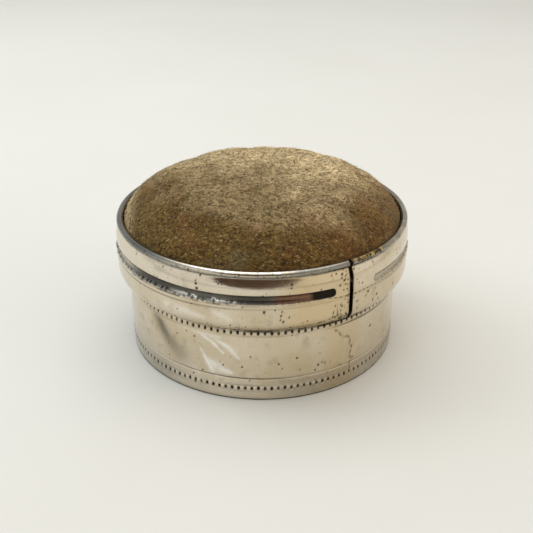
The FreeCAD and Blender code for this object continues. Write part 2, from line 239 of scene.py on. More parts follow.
foot_rise, foot_notch = bead_row(FOOT_BEAD, slip=0.14, narrowest=0.44, spread=0.12, seeds=(51, 53))
stop_rise, stop_notch = bead_row(STOP_BEAD, slip=0.16, narrowest=0.42, spread=0.14, seeds=(52, 54))
bead_wear = 0.78 + 0.22 * by_bead(bead_gaps, bead_pitch, 4)
score = held(1 - abs(wall_up - SCORE_HEIGHT) / SCORE_HALF)
wall_reach = WALL_REACH - WALL_GAUGE * (1 - wall_face) + 0 * wall_arc
wall_reach -= np.clip(FOOT_ROUNDING - wall_up, 0, FOOT_ROUNDING) * wall_face
wall_reach += wall_face * (foot_rise + stop_rise - SCORE_DEPTH * score)

plain_share = held(np.minimum(wall_up - PLAIN_WALL[0], PLAIN_WALL[1] - wall_up) / 1.5) * wall_face
dent = [(-48.5, 13.8, 1.0), (-46.3, 12.6, 1.3), (-44, 10.8, 1.35), (-41, 9.0, 1.5), (-35, 6.4, 2.3)]
dented = streak(wall_sheet, dent) * held((wall_up - 3.5) / 6.5)
# Light scratches pressed into the wall. Each is also a painted highlight streak in the bright coat.
scratch_and_highlight_lines = (
    (1.0, [(-31.8, 13.4, 0.16), (-24.4, 13.1, 0.3), (-19.4, 11.7, 0.32), (-14.7, 9.6, 0.12)]),
    (1.0, [(-25.4, 13.3, 0.34), (-20.1, 13.1, 0.42), (-16.0, 12.9, 0.2)]),
    (0.8, [(-18.1, 12.4, 0.2), (-12.7, 11.1, 0.55), (-8.8, 8.7, 0.2)]),
    (1.0, [(-24.7, 10.0, 0.14), (-22.3, 7.75, 0.4), (-19.7, 5.6, 0.6)]),
    (0.8, [(-22.0, 8.0, 0.4), (-18.4, 6.6, 1.2), (-12.0, 5.6, 0.4)]),
    (0.45, [(-18.2, 4.6, 0.4), (-14.1, 3.9, 0.7), (-10.5, 3.2, 0.4)]),
    (0.3, [(-28.6, 5.5, 0.3), (-24.8, 3.9, 0.6)]),
)
scratched_and_highlit = strongest(*(strong * streak(wall_sheet, line) for strong, line in scratch_and_highlight_lines))
wall_reach -= plain_share * (DENT_DEPTH * dented + SCRATCH_DEPTH * scratched_and_highlit)
wall_reach += plain_share * waviness(wall_sheet, seed=11, size=0.07)

soldered_seam = [
    (29.7, 12.9), (31.5, 12.2), (33.0, 11.1), (36.4, 10.6), (37.6, 9.5), (36.9, 8.8),
    (38.6, 8.1), (38.0, 7.0), (37.3, 6.1), (38.9, 5.4), (37.6, 4.6), (38.2, 3.2),
]
between_rows = (wall_up > FOOT_BEAD + BEAD_HALF) & (wall_up < STOP_BEAD - BEAD_HALF)
seam_line = streak(wall_sheet, of_width(soldered_seam, SEAM_HALF)) * between_rows
seam_line *= 0.54 + 0.32 * np.cos(wall_up * 5.3 + 1.0)
seam_valley = streak(wall_sheet, of_width(soldered_seam, 2 * SEAM_HALF))
wall_reach -= wall_face * between_rows * SEAM_DEPTH * seam_valley

wall_pits = pits_at([
    (-15.2, 7.1, 0.2), (-7.6, 7.2, 0.24), (13.7, 8.75, 0.24), (25.6, 6.6, 0.24), (22.6, 6.4, 0.3),
    (28.0, 6.3, 0.2), (49.5, 10.4, 0.36), (-12.0, 9.0, 0.14), (-41.0, 8.2, 0.16), (15.0, 6.1, 0.16),
], WALL_REACH)
wall_pits += scattered(default_rng(21), 120, WALL_ROUND, heights=(0.6, 13.8), radii=(0.07, 0.17))
rub_dice = default_rng(61)
lid_rubs = 0
for _ in range(TRACKS):
    across = abs(wall_arc - rub_dice.uniform(-math.pi, math.pi) * WALL_REACH)
    low, long = rub_dice.uniform(15.8, 20.5), rub_dice.uniform(1.5, 6)
    track = bell(across, 0.12) * held(1 - abs((wall_up - low) / long - 0.5) * 2)
    lid_rubs = np.maximum(lid_rubs, rub_dice.uniform(0.1, 0.4) * track)

# Darker towards the right: this strengthens the line below the upper bead row and the painted shadow under
# the lid.
right_darkening = 1.6 * span(wall_side, 20, 36, 84, 110)
foot_edges = bell(abs(wall_up - FOOT_BEAD) - ROW_EDGE, 0.09) * (0.55 + 0.45 * np.cos(10 * wall_turn + 1))
stop_edge = bell(wall_up - STOP_BEAD + ROW_EDGE, 0.09) * (0.5 + 0.5 * np.cos(8 * wall_turn) + right_darkening)
at_front = held(1.5 - abs(wall_side - 18) / 36)
# How strong the painted shadow line under the lid is at each bead.
under_lid_shadow_share = held(0.45 + 0.55 * by_bead(wall_arc, bead_pitch, 15) + 0.3 * right_darkening)
foot_share = held((SCORE_HEIGHT - wall_up) / 0.6) * wall_face
wall_tarnish_and_shade = strongest(
    foot_notch * bead_wear,
    stop_notch * bead_wear,
    0.62 * score * (0.65 + 0.35 * np.cos(6 * wall_turn + 2.2)),
    spots(wall_arc, wall_up, wall_pits),
    seam_line,
    # Painted shade: darker in the dent.
    0.54 * dented * plain_share,
    # Painted shade: the foot is darker from the front round to the right.
    0.2 * foot_share * span(wall_side, -6, 16, 100, 150),
    0.34 * (foot_edges + stop_edge),
    # Painted shadow: a dark line along the bottom edge of the foot, where it meets the floor.
    0.9 * held((0.45 - wall_up) / 0.3),
    # Painted shadow: a dark band on the wall just under the lid's lower edge, and a dark line just above the
    # upper bead row, strongest at the front and to its right.
    0.95 * held(np.minimum((wall_up - 14.88) / 0.1, (15.7 - wall_up) / 0.4)),
    0.9 * bell(wall_up - 14.76, 0.24) * at_front * under_lid_shadow_share,
    lid_rubs,
)
wall_yellow = span(wall_side, 20, 30, 36, 46) + span(wall_side, 64, 80, 110, 150)
# Painted reflection: the lower wall is brightened towards the foot.
foot_painted_reflection = 0.2 * held((6 - wall_up) / 3) * wall_face
base_wall = rolled_sheet("base_wall_dressed", wall_side, wall_reach, wall_up, shut=True)
mark(base_wall, "tarnish_and_shade", wall_tarnish_and_shade * wall_face + 0.14 * (1 - wall_face))
# Painted reflection: a dark grey tone on the foot towards the left.
mark(base_wall, "slate_reflection", 0.32 * foot_share * span(-wall_side, 24, 50, 110, 160))
mark(base_wall, "straw", 0.5 * wall_yellow * wall_face)
# Painted highlights and reflection: brighter along the scratch streaks and towards the foot.
mark(base_wall, "burnish_and_highlight", np.maximum(scratched_and_highlit * plain_share, foot_painted_reflection))

SILVER = (0.69, 0.605, 0.475, 1)
STRAW_GREY = (0.59, 0.495, 0.345, 1)
# Bright metal, used for rubbed metal and for painted highlights.
BRIGHT_SILVER = (0.94, 0.93, 0.89, 1)
# Colour of painted dark reflections.
SLATE = (0.24, 0.245, 0.24, 1)
# Colour of a painted brown reflection in the groove.
BROWN_REFLECTION = (0.28, 0.135, 0.08, 1)
PIT_BROWN = (0.026, 0.022, 0.016, 1)
BARE_BRASS = (0.55, 0.38, 0.14, 1)
STRAW = (0.63, 0.49, 0.28, 1)
bench = {}


def new_finish(name):
    """Put a new material on the bench. The functions below add to the one that lies there."""
    finish = bpy.data.materials.new(name)
    finish.use_nodes = True
    bench["tree"] = finish.node_tree
    return finish


def fit(node, inputs):
    """Link sockets of a node to other sockets, or set them."""
    for name, value in inputs.items():
        if isinstance(value, bpy.types.NodeSocket):
            bench["tree"].links.new(value, node.inputs[name])
        else:
            node.inputs[name].default_value = value


def surface(inputs):
    """Link or set the sockets of the shader."""
    fit(bench["tree"].nodes["Principled BSDF"], inputs)


def add_node(kind, inputs=None, **settings):
    """A new node in the tree on the bench, with its inputs and settings."""
    made = bench["tree"].nodes.new("ShaderNode" + kind)
    for name, value in settings.items():
        setattr(made, name, value)
    fit(made, inputs or {})
    return made


def own_place(stretch=(1, 1, 1), start=(0, 0, 0)):
    """A place in the piece's own space, stretched and shifted."""
    place = add_node("TexCoord").outputs["Object"]
    moved = add_node("Mapping", {"Vector": place, "Scale": stretch, "Location": start})
    return moved.outputs["Vector"]


def stretched(value, low, high, least=0.0, most=1.0):
    """A value spread from one range to another and held there."""
    return add_node("MapRange", {
        "Value": value, "From Min": low, "From Max": high, "To Min": least, "To Max": most,
    }).outputs["Result"]


def patches(to_a_metre, detail, spread=None, stretch=(1, 1, 1), grain=0.55):
    """Uneven patches in a piece's own space, from 0 to 1 or spread over a range."""
    uneven = add_node("TexNoise", {
        "Vector": own_place(stretch), "Scale": to_a_metre, "Detail": detail, "Roughness": grain,
    }).outputs["Fac"]
    return stretched(uneven, *spread) if spread else uneven


def reckoned(operation, first, second):
    """Two values reckoned together and kept between 0 and 1."""
    return add_node("Math", {0: first, 1: second}, operation=operation, use_clamp=True).outputs[0]


def times(first, second):
    return reckoned("MULTIPLY", first, second)


def plus(first, second):
    return reckoned("ADD", first, second)


def layered(colour, *coats):
    """Coats of colour laid over a ground one after the other, each with the share that it covers."""
    for share, tint in coats:
        colour = add_node("Mix", {0: share, 6: colour, 7: tint}, data_type="RGBA").outputs[2]
    return colour


def marked(name):
    """The share that a piece keeps at its points under this name."""
    return add_node("Attribute", attribute_name=name).outputs["Fac"]


def relief(grain, strength, depth):
    """Fine relief that the mesh doesn't carry."""
    bump = add_node("Bump", {"Strength": strength, "Distance": depth, "Height": grain})
    surface({"Normal": bump.outputs["Normal"]})


def plated_sheet():
    """Worn nickel plate: warm silver with straw-coloured clouds, hairlines, freckles and brown-black pits."""
    finish = new_finish("plated_sheet")
    clouds = patches(110, 5, (0.36, 0.68))
    stains = patches(420, 4, (0.56, 0.78))
    freckles = patches(2300, 2, (0.71, 0.77))
    hairlines = patches(1, 4, (0.35, 0.7), (60, 60, 3400))
    rubbed = patches(1, 4, (0.62, 0.8), (2600, 2600, 70))
    broken = patches(800, 4, (0.3, 0.55, 0.5, 1))
    grime_and_shade = reckoned("MAXIMUM", marked("tarnish_and_shade"), times(freckles, 0.7))
    # The darkening coat read from the points is tarnished metal together with painted shade. The bright coat
    # is rubbed metal together with painted highlights. The grey coat is a painted dark reflection.
    colour = layered(
        SILVER,
        (clouds, STRAW_GREY),
        (times(rubbed, 0.35), BRIGHT_SILVER),
        (times(marked("burnish_and_highlight"), broken), BRIGHT_SILVER),
        (times(stains, 0.3), PIT_BROWN),
        (marked("straw"), STRAW),
        (marked("slate_reflection"), SLATE),
        (marked("brass"), BARE_BRASS),
        (marked("brown_reflection"), BROWN_REFLECTION),
        (stretched(grime_and_shade, 0, 0.85), PIT_BROWN),
    )
    dullness = plus(stretched(clouds, 0, 1, 0.08, 0.17), stretched(hairlines, 0, 1, 0, 0.05))
    dullness = plus(dullness, times(grime_and_shade, 0.4))
    surface({"Base Color": colour, "Metallic": 1.0, "Roughness": dullness})
    dings = times(patches(260, 3), 0.8)
    relief(plus(dings, times(hairlines, 0.06)), 0.35, 0.00012)
    return finish


def coat(piece, finish):
    """Give a piece this finish alone."""
    piece.data.materials.clear()
    piece.data.materials.append(finish)


plated = plated_sheet()
coat(base_wall, plated)
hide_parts("base_wall")
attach(base_wall, "base")

# Base pan: a shallow tinned pan pressed from sheet and soldered into the foot of the wall. Its underside is
# what the box stands on, so it is the rustiest of the tinned pieces.
TIN = (0.56, 0.55, 0.51, 1)
DULL_TIN = (0.36, 0.34, 0.30, 1)
RUST = (0.16, 0.075, 0.03, 1)


def tinned_sheet(name, rusting):
    """Dull tin plate with a crystalline spangle, scuffs and a few freckles of rust."""
    finish = new_finish(name)
    cells = add_node("TexVoronoi", {"Vector": own_place(), "Scale": 210.0}, feature="F1")
    spangle = add_node("SeparateColor", {"Color": cells.outputs["Color"]}).outputs["Red"]
    clouds = patches(120, 5, (0.35, 0.68))
    scuffs = patches(1, 3, (0.6, 0.74), (2400, 180, 900))
    rust = patches(700, 4, (0.78 - 0.12 * rusting, 0.86 - 0.1 * rusting))
    colour = layered(
        TIN,
        (clouds, DULL_TIN),
        (stretched(spangle, 0, 1, 0, 0.3), DULL_TIN),
        (times(scuffs, 0.5), BRIGHT_SILVER),
        (rust, RUST),
    )
    surface({
        "Base Color": colour,
        "Metallic": stretched(rust, 0, 1, 0.95, 0.1),
        "Roughness": plus(stretched(spangle, 0, 1, 0.3, 0.44), times(rust, 0.35)),
    })
    relief(patches(500, 4), 0.3, 0.0001)
    return finish


def dress(node, finish):
    """Give a solid of the frame its finish."""
    coat(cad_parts[node], finish)


dress("base_pan", tinned_sheet("scuffed_tin", rusting=0.6))

# Spindle plate and spindles: a tinned disc that lies on the pan, and four turned brass posts riveted to it
# by a tenon. Each post has a shoulder that the bobbin runs on and a domed tip.
SPINDLE_BRASS = (0.62, 0.43, 0.17, 1)
BROWN_BRASS = (0.22, 0.13, 0.05, 1)
SPINDLES = {1: (10.55, -10.55), 2: (10.55, 10.55), 3: (-10.55, 10.55), 4: (-10.55, -10.55)}


def brass(name):
    """Old brass, bright where rubbed and brown elsewhere, with fine turning marks."""
    finish = new_finish(name)
    clouds = patches(380, 5, (0.4, 0.72))
    turning = patches(1, 3, stretch=(120, 120, 9000))
    brown_lines = stretched(turning, 0.45, 0.7, 0, 0.25)
    colour = layered(SPINDLE_BRASS, (clouds, BROWN_BRASS), (brown_lines, BROWN_BRASS))
    dullness = stretched(clouds, 0, 1, 0.2, 0.42)
    surface({"Base Color": colour, "Metallic": 1.0, "Roughness": dullness})
    relief(turning, 0.25, 0.00005)
    return finish


dress("spindle_plate", tinned_sheet("plate_tin", rusting=0.2))
spindle_brass = brass("spindle_brass")
for number in SPINDLES:
    dress(f"spindle_{number}", spindle_brass)

# Bobbins: a steel tube with a drilled steel disc on each end, turning on its spindle. Each is wound with
# sewing thread in close, nearly level turns, with the last turn lying slantwise over the others.
THREAD_PITCH = 0.32
THREAD_ROUND = 0.11
LAST_TURN_HALF = 0.2
LAST_TURN_END = 120
BOBBIN_BOTTOM = 1.46
BOBBIN_TOP = 13.16
WINDING_ROOM = 0.65
WINDING_CROWN = 0.3
WINDING_SLACK = 0.16
WINDING_COLUMNS = 112
ROWS_TO_A_TURN = 8
CORE_REACH = 3.85
WINDINGS = {
    1: ("thread_cream", 9.2, (0.70, 0.62, 0.45, 1), (0.52, 0.44, 0.29, 1)),
    2: ("thread_indigo", 8.5, (0.035, 0.06, 0.16, 1), (0.015, 0.025, 0.08, 1)),
    3: ("thread_madder", 9.0, (0.34, 0.045, 0.03, 1), (0.19, 0.02, 0.015, 1)),
    4: ("thread_black", 7.9, (0.022, 0.02, 0.02, 1), (0.008, 0.008, 0.008, 1)),
}
STEEL = (0.47, 0.46, 0.44, 1)
DARK_STEEL = (0.22, 0.2, 0.17, 1)


def bobbin_steel(number, axis):
    """Turned steel: fine rings about the bobbin's own axis, brown spots and a soft gloss."""
    finish = new_finish(f"bobbin_steel_{number}")
    middle = own_place(start=(-axis[0] * MM, -axis[1] * MM, 0))
    flat = add_node("VectorMath", {0: middle, 1: (1, 1, 0)}, operation="MULTIPLY")
    outward = add_node("VectorMath", {0: flat.outputs["Vector"]}, operation="LENGTH")
    rings = add_node("TexNoise", {
        "W": outward.outputs["Value"], "Scale": 5200.0, "Detail": 3.0,
    }, noise_dimensions="1D").outputs["Fac"]
    clouds = patches(260, 5, (0.42, 0.75))
    rust = patches(1100, 3, (0.7, 0.78))
    colour = layered(
        STEEL,
        (stretched(rings, 0.35, 0.7, 0, 0.6), DARK_STEEL),
        (times(clouds, 0.4), DARK_STEEL),
        (rust, RUST),
    )
    surface({
        "Base Color": colour,
        "Metallic": stretched(rust, 0, 1, 1, 0.2),
        "Roughness": stretched(rings, 0.3, 0.7, 0.24, 0.4),
    })
    relief(rings, 0.3, 0.00004)
    return finish


def wound_thread(number, axis, outer):
    """The winding as a turned form whose side carries the helix of the thread's turns."""
    low, high = BOBBIN_BOTTOM + WINDING_ROOM, BOBBIN_TOP - WINDING_ROOM
    tall = high - low
    up = np.linspace(low, high, int(tall / THREAD_PITCH * ROWS_TO_A_TURN))[:, None]
    turn = np.linspace(0, 2 * math.pi, WINDING_COLUMNS, endpoint=False)
    level = (up - (low + high) / 2) / (tall / 2)
    phase = up / THREAD_PITCH - turn / (2 * math.pi)
    round_thread = np.sqrt(held(1 - (2 * (phase - np.floor(phase)) - 1) ** 2))
    slant = abs(((up - low) / tall - 0.12 - 0.055 * np.degrees(turn) / 10 + 0.5) % 1 - 0.5)
    last_turn = np.sqrt(held(1 - (slant * tall / LAST_TURN_HALF) ** 2)) * (np.degrees(turn) < LAST_TURN_END)
    uneven = 0.05 * np.cos(3 * turn + number) + 0.04 * np.cos(up * 1.7 + number)
    body = outer - WINDING_CROWN * level**2 - WINDING_SLACK + uneven
    reach = np.minimum(body + np.maximum(THREAD_ROUND * round_thread, LAST_TURN_HALF * last_turn), outer)
    core = np.full((1, WINDING_COLUMNS), CORE_REACH)
    rows = np.vstack([core, reach, core])
    heights = np.vstack([[[low]], up, [[high]]])
    piece = rolled_sheet(f"bobbin_{number}_winding", np.degrees(turn), rows, heights, shut=True)
    piece.data.transform(Matrix.Translation((axis[0] * MM, axis[1] * MM, 0)))
    return piece


def thread_finish(name, colour, shade):
    """Lightly waxed thread: a fine streaky ply and faded patches."""
    finish = new_finish(name)
    ply = patches(1, 2, stretch=(4200, 4200, 1500))
    faded = patches(240, 4, (0.35, 0.7))
    mixed = layered(
        shade,
        (stretched(ply, 0.35, 0.7), colour),
        (stretched(faded, 0, 1, 0, 0.35), shade),
    )
    surface({"Base Color": mixed, "Roughness": 0.68, "Sheen Weight": 0.25, "Sheen Roughness": 0.4})
    relief(ply, 0.5, 0.00006)
    return finish


for number, (slot_name, outer, colour, shade) in WINDINGS.items():
    steel = bobbin_steel(number, SPINDLES[number])
    for part in ("core", "lower_flange", "upper_flange"):
        dress(f"bobbin_{number}_{part}", steel)
    winding = wound_thread(number, SPINDLES[number], outer)
    coat(winding, thread_finish(slot_name, colour, shade))
    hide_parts(f"bobbin_{number}_thread")
    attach(winding, f"bobbin_{number}")

# Lid band: a strip of the same plated sheet, rolled up with an open seam so that it springs shut on the neck.
# The lower edge turns in, and a groove with a milled lip is pressed in below the rim. The groove stops short
# of the seam and its inner ridge carries the floor of the lid.
SLIT_BEARING = 33.0
SLIT_WIDTH = 0.7
BAND_COLUMNS = 1100
SKIRT_REACH = 28.9
SKIRT_BOTTOM = 15.6
BAND_REACH = 28.8
COLLAR_REACH = 28.15
COLLAR_TOP = 26.33
SLOPE_LOW = 24.05
SLOPE_HIGH = 26.0
TURN_CENTRE = (26.3, 17.74)
TURN_RADIUS = 2.6
TURN_ANGLES = (-73, -4)
GROOVE_CENTRE = (29.45, 22.23)
GROOVE_RADIUS = 1.0
GROOVE_ENDS = (6.4, 10.8)
GROOVE_RUNOUT = 0.8
MILLED_LIP = 21.4
LIP_HALF = 0.44
LIP_RISE = 0.27
LIP_OPENING = 0.52
CREASE_HEIGHT = 20.4
CREASE_DEPTH = 0.06


def turned_edge(radius, first, last, count):
    """Points of the turned-in lower edge, as reaches and heights."""
    angles = np.radians(np.linspace(first, last, count))
    return TURN_CENTRE[0] + radius * np.cos(angles), TURN_CENTRE[1] + radius * np.sin(angles)


edge_reach, edge_height = turned_edge(TURN_RADIUS, *TURN_ANGLES, 12)
inner_reach, inner_height = turned_edge(TURN_RADIUS - WALL_GAUGE, *TURN_ANGLES[::-1], 6)
band_outside = np.hstack([
    [17.9, 18.3, 18.7, 19.1, 19.5, 19.9, 20.15, 20.3, 20.4, 20.5, 20.65],
    np.linspace(20.8, 22.0, 14),
    np.linspace(22.12, 23.1, 9),
    [23.25, 23.5, 23.8, 24.0, 24.1, 24.2, 24.3, 24.45, 24.6, 24.8],
    [25.0, 25.25, 25.5, 25.75, 26.05, COLLAR_TOP],
])
band_inside = np.hstack([
    [COLLAR_TOP, 25.5, 25.0, 24.5, 24.1], np.linspace(23.3, 21.1, 12), [20.0, 18.2],
])
band_up = np.hstack([edge_height, band_outside, band_inside, inner_height])[:, None]
band_face = outer_face(band_up, len(edge_height) + len(band_outside))
half_slit = math.degrees(SLIT_WIDTH / SKIRT_REACH) / 2
past_slit = np.linspace(half_slit, 360 - half_slit, BAND_COLUMNS)
band_bearings = SLIT_BEARING + past_slit
from_slit = np.radians(past_slit) * SKIRT_REACH
round_lid = 2 * math.pi * SKIRT_REACH
band_arc = np.where(band_bearings > 180, band_bearings - 360, band_bearings) * math.pi / 180 * SKIRT_REACH
band_turn = band_arc / SKIRT_REACH
band_sheet = (band_arc, band_up, SKIRT_REACH)
facing = np.degrees(band_turn)

plain_reach = SKIRT_REACH + (BAND_REACH - SKIRT_REACH) * eased(band_up, MILLED_LIP, 23.0)
up_slope = held((band_up - SLOPE_LOW) / (SLOPE_HIGH - SLOPE_LOW))
plain_reach += (COLLAR_REACH - BAND_REACH) * up_slope**1.25
plain_reach = np.where(band_face > 0, plain_reach, plain_reach - WALL_GAUGE)
turned_in = np.hstack([
    edge_reach, np.zeros(len(band_outside) + len(band_inside)), inner_reach,
])[:, None]
plain_reach = np.where(turned_in > 0, turned_in, plain_reach)
past_end = strongest(
    math.radians(GROOVE_ENDS[1]) * SKIRT_REACH + GROOVE_RUNOUT - from_slit,
    from_slit - (round_lid - math.radians(GROOVE_ENDS[0]) * SKIRT_REACH - GROOVE_RUNOUT),
)
from_groove = np.hypot(band_up - GROOVE_CENTRE[1], past_end)
channel = GROOVE_RADIUS + WALL_GAUGE * (1 - band_face)
pressed = GROOVE_CENTRE[0] - np.sqrt(np.clip(channel**2 - from_groove**2, 0, None))
in_channel = (from_groove < channel) & (turned_in == 0)
band_reach = np.where(in_channel, np.minimum(plain_reach, pressed), plain_reach)

lip_share = 0.25 + 0.75 * eased(-facing, 0, 24) + 0.3 * eased(facing, 40, 60) + 0.45 * eased(facing, 110, 175)
lip_share *= held(1 - past_end / 1.2)
lip_pitch = bead_pitch * SKIRT_REACH / WALL_REACH
lip_wear = by_bead(band_arc, lip_pitch, 3)
lip_slip = band_arc + 0.3 * np.sin(49 * band_turn) + 0.2 * np.sin(18 * band_turn + 2)
above_lip = band_up - MILLED_LIP - 0.2 * (lip_wear - 0.5)
lip_rise, lip_notch = pearls(lip_slip, lip_pitch, above_lip, LIP_HALF, LIP_RISE, LIP_OPENING)
lip_rise *= 0.25 + 0.75 * lip_wear
lip_notch *= 0.45 + 0.55 * by_bead(lip_slip, lip_pitch, 33)
# The lip's raised tops are rubbed bright, and they also carry painted highlights.
lip_polish_and_highlight = 0.6 * held(lip_rise / 0.2) * lip_share
lip_dirt = held(1.5 - abs(band_up - MILLED_LIP + 0.32) / 0.22) * by_bead(band_arc, lip_pitch, 6)
crease = bell(band_up - CREASE_HEIGHT - 0.25 * np.sin(2 * band_turn), 0.12) * (0.25 + 0.75 * lip_share)
skirt_share = held(np.minimum(band_up - 15.9, SLOPE_HIGH - band_up) / 1.2) * band_face
band_reach += band_face * (lip_rise * lip_share - CREASE_DEPTH * crease)
band_reach += skirt_share * waviness(band_sheet, seed=23, size=0.08)

band_pits = pits_at([
    (-23, 24.3, 0.3), (-22.7, 23.4, 0.34), (-23.2, 24.8, 0.2), (-14.8, 24.9, 0.2), (-13.6, 24.8, 0.16),
    (28.2, 23.3, 0.28), (29.8, 24.1, 0.24), (30, 26, 0.3), (29.2, 25.2, 0.3), (28.9, 24.6, 0.22),
    (10.4, 24.9, 0.26), (10.2, 24.3, 0.2), (0.9, 20, 0.3), (1.1, 19.7, 0.24), (4.6, 20.3, 0.2),
    (7, 20, 0.2), (6.7, 19.1, 0.22), (9.5, 18.8, 0.22), (7.4, 17.8, 0.26), (26.4, 19.6, 0.2),
    (27.4, 18.1, 0.2), (38, 22.4, 0.2), (41, 20.2, 0.3), (40, 19.4, 0.2), (46, 18.6, 0.3),
    (44, 17.8, 0.26), (-31, 18.4, 0.2),
], SKIRT_REACH)
slit_dice = default_rng(8)
for _ in range(46):
    hand = -1 if slit_dice.uniform() < 0.75 else 1
    away = math.radians(SLIT_BEARING) * SKIRT_REACH + hand * (0.6 + slit_dice.exponential(1.1))
    band_pits.append((away, slit_dice.uniform(16.6, 26.0), slit_dice.uniform(0.08, 0.19)))
for count, arcs, lowest, climb, radii in (
    (60, (-6, 24), 15.9, 0.7, (0.07, 0.16)),
    (34, (12.8, 16.3), 15.8, 1.2, (0.14, 0.2)),
):
    for _ in range(count):
        away = slit_dice.uniform(*arcs)
        band_pits.append((away, lowest + slit_dice.exponential(climb), slit_dice.uniform(*radii)))
band_pits += scattered(default_rng(5), 90, WALL_ROUND, heights=(16.5, 26.0), radii=(0.07, 0.17))

fine_crack = [(24, 21.3), (28, 21.0), (34, 20.9), (44.6, 21.1), (56, 20.9), (68, 20.9), (80, 21.0)]
lower_crack = [(10, 16.3), (18, 16.5), (24, 16.9), (27.5, 17.6), (27.2, 19.5)]
cracked = strongest(*(streak(band_sheet, of_width(line, 0.11)) for line in (fine_crack, lower_crack)))
cracked *= 0.6 + 0.4 * np.cos(band_arc * 6.1 + band_up * 3)
slit_edge = np.exp(-(np.minimum(from_slit, round_lid - from_slit) - SLIT_WIDTH / 2) / 0.08)
in_groove = held((0.86 - from_groove) / 0.12) * band_face
# Painted reflection: a brown stretch of the groove, from just right of the front towards the seam.
brown_reflection_share = span(facing, 2, 6.5, 17.5, 19.5)
right_end = span(facing, 36, 41, 95, 150)
left_end = 0.75 * span(-facing, 48, 62, 86, 100)
# Painted glints: bright points on the milled lip, to the left of the front.
painted_lip_glints = eased(by_bead(band_arc, lip_pitch / 2, 44), 0.36, 0.44) * span(facing, -37, -29, -10, -6)
glint_height = 21.72 + 0.2 * (by_bead(band_arc, lip_pitch / 2, 45) - 0.5)
painted_lip_glints = painted_lip_glints * bell(band_up - glint_height, 0.22) * band_face
# The groove is darkened by tarnished metal and painted shade together. It is black towards its end beside the
# seam, and paler at its right end and at the far left.
groove_shade = 0.6 + 0.08 * np.cos(10 * band_turn + 0.6) + 0.5 * eased(band_arc, 8.2, 9.6) * (band_arc < 15)
groove_shade = groove_shade - 0.48 * right_end - 0.22 * brown_reflection_share
band_tarnish_and_shade = strongest(
    in_groove * groove_shade * (1 - 0.85 * lip_polish_and_highlight) * (1 - painted_lip_glints) * (1 - left_end),
    np.maximum(0.9 * lip_notch, 0.8 * lip_dirt) * lip_share * (1 - painted_lip_glints),
    0.55 * crease,
    spots(band_arc, band_up, band_pits),
    0.9 * slit_edge,
    0.85 * cracked,
    # Painted shadow: the lid's turned-in lower edge is made dark.
    0.85 * held((SKIRT_BOTTOM - band_up) / 0.2),
    0.6 * held((band_up - 25.85) / 0.2) * (0.5 + 0.5 * by_bead(band_arc, 0.7, 9)),
)
band_yellow = span(facing, 4, 14, 70, 110) * (1 - 0.65 * eased(facing, 32, 35))
left_rub = [(-36, 18.6, 0.5), (-28, 18.5, 0.8), (-20.6, 17.9, 0.4)]
middle_rub = [(-16.5, 19.3, 0.4), (-13.6, 18.8, 0.7), (-10.8, 18.1, 0.4)]
band_polish_and_highlight = strongest(
    lip_polish_and_highlight,
    painted_lip_glints,
    # Painted light: the band above the milled lip is brighter round to the right.
    0.3 * span(facing, 32, 38, 100, 170) * (1 - in_groove) * eased(band_up, 20.5, 23.0),
    # Painted reflection: the band above the groove is brightened, less where it is yellowed.
    0.22 * eased(band_up, 23.0, 23.4) * (1 - 0.8 * band_yellow),
    0.45 * streak(band_sheet, left_rub),
    0.4 * streak(band_sheet, middle_rub),
)
lid_band = rolled_sheet("lid_band_dressed", band_bearings, band_reach, band_up, shut=False)
mark(lid_band, "tarnish_and_shade", band_tarnish_and_shade * band_face + 0.2 * (1 - band_face))
mark(lid_band, "burnish_and_highlight", band_polish_and_highlight * band_face)
mark(lid_band, "straw", 0.7 * band_yellow * band_face)
mark(lid_band, "brown_reflection", 0.9 * in_groove * brown_reflection_share)
# Painted reflection: a dark grey tone in the groove, lighter at its two ends and where the lip glints.
mark(lid_band, "slate_reflection", 0.8 * in_groove * (1 - painted_lip_glints) * (1 - 0.7 * left_end) * (1 - 0.45 * right_end))
coat(lid_band, plated)
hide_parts("lid_band")
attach(lid_band, "lid")

# Rolled rim and its wire: the upper edge of the same strip, rolled over a brass wire that keeps the rim
# stiff. The plating is rubbed through to the brass beside the seam.
RIM_COLUMNS = 720
ROLL_CENTRE = (27.93, 26.60)
ROLL_RADIUS = 0.62
ROLL_BORE = 0.22
ROLL_ANGLES = (-118, 222)
RIM_BRASS = (33.5, 35.0, 47.0, 52.0)

rim_bearings = SLIT_BEARING + np.linspace(half_slit, 360 - half_slit, RIM_COLUMNS)
rim_arc = np.radians(np.where(rim_bearings > 180, rim_bearings - 360, rim_bearings)) * ROLL_CENTRE[0]
curl = np.radians(np.linspace(*ROLL_ANGLES, 30))
roll_reach = np.hstack([ROLL_RADIUS * np.cos(curl), ROLL_BORE * np.cos(curl[::-3])])[:, None]
roll_up = np.hstack([ROLL_RADIUS * np.sin(curl), ROLL_BORE * np.sin(curl[::-3])])[:, None]
dinged = 1 + 0.03 * waviness((rim_arc, 0, ROLL_CENTRE[0]), seed=31, size=1.0)
rim_reach = ROLL_CENTRE[0] + roll_reach * dinged
rim_height = ROLL_CENTRE[1] + roll_up * dinged
rim = rolled_sheet("lid_rim", rim_bearings, rim_reach, rim_height, shut=False)

rim_dice = default_rng(17)
rim_pits = scattered(rim_dice, 260, arcs=(-88, 88), heights=(26.1, 27.0), radii=(0.08, 0.2))
rim_pits += scattered(rim_dice, 60, arcs=(16.5, 25), heights=(26.7, 27.25), radii=(0.1, 0.22))
to_side = abs((rim_bearings + 180) % 360 - 180)
brass_shows = span(rim_bearings, *RIM_BRASS)
upper = eased(roll_up, 0.12, 0.34)
right_side = span(rim_arc, 14, 22, 48, 78)
flecked = right_side * (0.62 - 0.5 * by_bead(rim_arc, 0.9, 22))
